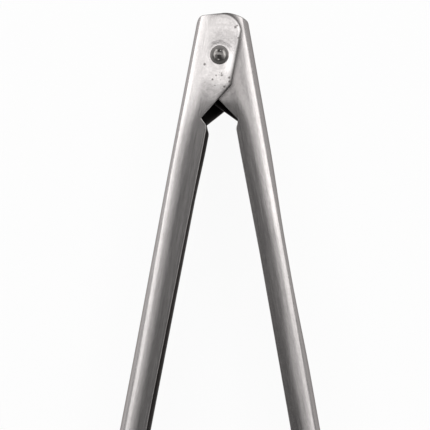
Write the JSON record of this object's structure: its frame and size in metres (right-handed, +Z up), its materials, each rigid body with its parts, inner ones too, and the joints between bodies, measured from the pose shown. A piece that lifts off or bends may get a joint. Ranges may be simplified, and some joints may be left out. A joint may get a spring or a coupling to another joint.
{
  "type": "spring loaded kitchen tongs",
  "caption": "Spring loaded kitchen tongs: two nested channel arms pressed from steel sheet, joined by a rivet, held open by a coiled torsion spring, with scalloped scoop jaws.",
  "frame": {"origin": "centre of the tongs' outline, on the level surface that they lie on when fully open", "axes": "+Z up, along the pivot axis, towards the rivet's domed head; +Y along the tongs from the jaws towards the pivot; +X from the outer arm towards the inner arm"},
  "size_m": [0.1252, 0.3003, 0.0276],
  "materials": {
    "brushed_sheet": "stainless sheet, brushed along the arms outside, dull and dark inside",
    "rivet_steel": "polished dome, set tail",
    "turned_steel": "turned and cut off",
    "spring_wire": "drawn spring wire"
  },
  "bodies": {
    "outer_half": {"outer_arm": "brushed_sheet", "pivot_rivet": "rivet_steel", "spacer_sleeve": "turned_steel", "torsion_spring": "spring_wire"},
    "inner_half": {"inner_arm": "brushed_sheet"}
  },
  "joints": [
    {"name": "arm_hinge", "type": "hinge", "parent": "outer_half", "child": "inner_half", "pos_m": [-0.00108, 0.1323, 0.0138], "axis": [0, 0, -1], "range_deg": [0, 20], "stiffness_Nm_per_rad": 0.75, "springref_deg": -29.79, "deforming": ["torsion_spring"]}
  ]
}
